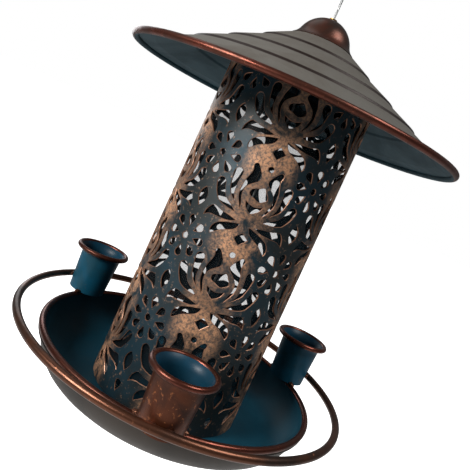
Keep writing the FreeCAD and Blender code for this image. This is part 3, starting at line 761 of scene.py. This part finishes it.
def makeCable():
    line = bpy.data.curves.new("cableRoute", 'CURVE')
    line.dimensions = '3D'
    spline = line.splines.new('NURBS')
    spline.points.add(len(cableRoute) - 1)
    for target, (x, z) in zip(spline.points, cableRoute):
        target.co = (x, 0, z, 1)
    spline.order_u = 3
    spline.use_endpoint_u = True
    spline.resolution_u = 40
    guide = bpy.data.objects.new("cableRoute", line)
    bpy.context.collection.objects.link(guide)
    bpy.context.view_layer.update()
    path = [v.co.copy() for v in bpy.data.meshes.new_from_object(guide).vertices]
    bpy.data.objects.remove(guide)
    # even steps along the route
    even = [path[0]]
    gap = cableShape["lay"] / 12
    travelled = 0.0
    for before, after in zip(path, path[1:]):
        run = (after - before).length
        while travelled + gap <= run:
            travelled += gap
            even.append(before.lerp(after, travelled / run))
        travelled -= run
    even.append(path[-1])
    side = Vector((0, 1, 0))
    strandRadius = cableShape["diameter"] / 6
    twist = bpy.data.curves.new("cableStrands", 'CURVE')
    twist.dimensions = '3D'
    twist.bevel_depth = strandRadius * 1.04
    twist.bevel_resolution = 1
    twist.use_fill_caps = True
    for strand in range(cableShape["strands"] + 1):
        spline = twist.splines.new('POLY')
        spline.points.add(len(even) - 1)
        for i, point in enumerate(even):
            ahead = (even[min(i + 1, len(even) - 1)] - even[max(i - 1, 0)]).normalized()
            out = ahead.cross(side)
            angle = math.tau * (i / 12 + strand / cableShape["strands"])
            offset = (out * math.cos(angle) + side * math.sin(angle)) * strandRadius * 2
            spline.points[i].co = (*(point if strand == cableShape["strands"] else point + offset), 1)
    holder = bpy.data.objects.new("cableStrands", twist)
    bpy.context.collection.objects.link(holder)
    bpy.context.view_layer.update()
    mesh = bpy.data.meshes.new_from_object(holder)
    bpy.data.objects.remove(holder)
    mesh.materials.clear()
    mesh.shade_smooth()
    cable = addObject("hangingCable", mesh, [zinc], "feeder")
    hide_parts("hanging_cable")
    makeFerrule()


def makeFerrule():
    low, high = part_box("loop_ferrule")
    bm = bmesh.new()
    made = bmesh.ops.create_cube(bm, size=1.0)["verts"]
    bmesh.ops.scale(bm, verts=made, vec=(high.x - low.x, high.y - low.y, high.z - low.z))
    upright = [e for e in bm.edges if abs(e.verts[0].co.z - e.verts[1].co.z) > 1e-6]
    bmesh.ops.bevel(bm, geom=upright, offset=(high.y - low.y) * 0.46, segments=6, profile=0.5,
                    affect='EDGES', material=-1)
    upright = [e for e in bm.edges if abs(e.verts[0].co.z - e.verts[1].co.z) > 1e-6]
    bmesh.ops.subdivide_edges(bm, edges=upright, cuts=18)
    half = (high.z - low.z) / 2
    for vert in bm.verts:  # two crimps squeeze it
        pinch = max(0.0, math.cos(vert.co.z / half * math.pi * 1.5)) if abs(vert.co.z) < half * 0.85 else 0.0
        vert.co.y *= 1 - 0.16 * (1 - pinch) if abs(vert.co.z) < half * 0.8 else 1.0
    bmesh.ops.translate(bm, verts=bm.verts, vec=(low + high) / 2)
    bmesh.ops.recalc_face_normals(bm, faces=bm.faces)
    ferrule = addObject("loopFerrule", meshFrom(bm, "loopFerrule", 40), [zinc], "feeder")
    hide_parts("loop_ferrule")
    return ferrule


makeCable()
print("cable made")

# pieces that keep their CAD shape
for nodeName, material in (("tray_rim_wire", zinc), ("roof_rim_wire", zinc), ("seam_strip", tubePaint),
                           ("seam_rivets", copperBead), ("tube_foot_1", zinc), ("tube_foot_2", zinc),
                           ("tube_foot_3", zinc), ("foot_rivets", zinc), ("cable_stud", zinc),
                           ("stud_washer_upper", zinc), ("stud_washer_lower", zinc), ("stud_nut", zinc),
                           ("cap_bush", brass), ("bush_clip", zinc)):
    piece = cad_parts[nodeName]
    if not piece.material_slots:
        piece.data.materials.append(material)
    for materialSlot in piece.material_slots:
        materialSlot.material = material

stageShape = {"size": 40.0, "drop": 0.28, "back": 12.0}


def makeStage():
    bm = bmesh.new()
    bmesh.ops.create_grid(bm, x_segments=1, y_segments=1, size=stageShape["size"] / 2)
    bmesh.ops.translate(bm, verts=bm.verts, vec=(0, 0, trayLow.z - stageShape["drop"]))
    mesh = bpy.data.meshes.new("paleFloor")
    bm.to_mesh(mesh)
    bm.free()
    floor = bpy.data.objects.new("paleFloor", mesh)
    bpy.context.collection.objects.link(floor)
    paint = bpy.data.materials.new("paleFloor")
    paint.use_nodes = True
    shader = paint.node_tree.nodes['Principled BSDF']
    shader.inputs['Base Color'].default_value = (0.8, 0.8, 0.8, 1)
    shader.inputs['Roughness'].default_value = 0.9
    shader.inputs['Emission Color'].default_value = (1, 1, 1, 1)
    sight = paint.node_tree.nodes.new('ShaderNodeLightPath').outputs['Is Camera Ray']
    glow = mathNode(paint.node_tree, 'MULTIPLY', sight, 1.2)
    paint.node_tree.links.new(glow, shader.inputs['Emission Strength'])
    mesh.materials.append(paint)


cameraView = {
    "focal": 550.6, "distance": 0.3659, "rise": 0.167, "turn": -3.2, "yaw": -0.8, "pitch": -1.15,
    "roll": 24.52, "centre": (256.0, 171.0), "frame": 470.0, "sensor": 36.0}


def makeCamera():
    view = cameraView
    data = bpy.data.cameras.new("camera")
    data.sensor_width = view["sensor"]
    data.lens = view["sensor"] * view["focal"] / view["frame"]
    data.shift_x = -(view["centre"][0] - view["frame"] / 2) / view["frame"]
    data.shift_y = (view["centre"][1] - view["frame"] / 2) / view["frame"]
    data.clip_start = 0.01
    camera = bpy.data.objects.new("camera", data)
    bpy.context.collection.objects.link(camera)
    turn, pitch, roll = (math.radians(view[k]) for k in ("turn", "pitch", "roll"))
    yaw = math.radians(view["yaw"]) - turn
    ahead = Vector((math.sin(yaw) * math.cos(pitch), math.cos(yaw) * math.cos(pitch), math.sin(pitch)))
    level = Vector((math.cos(yaw), -math.sin(yaw), 0))
    upward = level.cross(ahead)
    right = level * math.cos(roll) + upward * math.sin(roll)
    upright = -level * math.sin(roll) + upward * math.cos(roll)
    place = Vector((view["distance"] * math.sin(turn), -view["distance"] * math.cos(turn),
                    trayLow.z + view["rise"]))
    axes = Matrix((right, upright, -ahead)).transposed()
    camera.matrix_world = Matrix.Translation(place) @ axes.to_4x4()
    bpy.context.scene.camera = camera
    return camera, right, upright, ahead


def addLight(name, place, target, size, power, tint):
    data = bpy.data.lights.new(name, 'AREA')
    data.shape = 'DISK'
    data.size = size
    data.energy = power
    data.color = tint
    lamp = bpy.data.objects.new(name, data)
    bpy.context.collection.objects.link(lamp)
    lamp.location = place
    lamp.rotation_euler = (Vector(target) - Vector(place)).to_track_quat('-Z', 'Y').to_euler()


lights = {  # right, up and forward of the camera, in metres; size, watts, tint
    "key": ((-0.42, 0.5, -0.2), 0.35, 12.0, (1.0, 0.96, 0.92)),
    "roof": ((1.0, 0.6, 0.0), 0.6, 10.0, (1.0, 0.98, 0.95)),
    "top": ((-0.1, 1.0, 0.6), 0.7, 1.0, (1.0, 1.0, 1.0)),
    "back": ((-0.5, 0.5, 1.3), 0.6, 2.0, (0.92, 0.97, 1.0))}

makeStage()
camera, right, upright, ahead = makeCamera()
middle = (cadLow + cadHigh) / 2
for name, (offset, size, power, tint) in lights.items():
    place = camera.location + right * offset[0] + upright * offset[1] + ahead * offset[2]
    addLight(name, place, middle, size, power, tint)

world = bpy.data.worlds.new("studio")
bpy.context.scene.world = world
world.use_nodes = True
worldTree = world.node_tree
background = worldTree.nodes['Background']
sight = worldTree.nodes.new('ShaderNodeLightPath').outputs['Is Camera Ray']
worldTree.links.new(rampNode(worldTree, sight, 0.0, 1.0, 0.14, 1.0), background.inputs['Strength'])
background.inputs['Color'].default_value = (1, 1, 1, 1)
bpy.context.scene.view_settings.view_transform = 'Standard'

print("cad box", [round(v, 4) for v in cadHigh - cadLow])
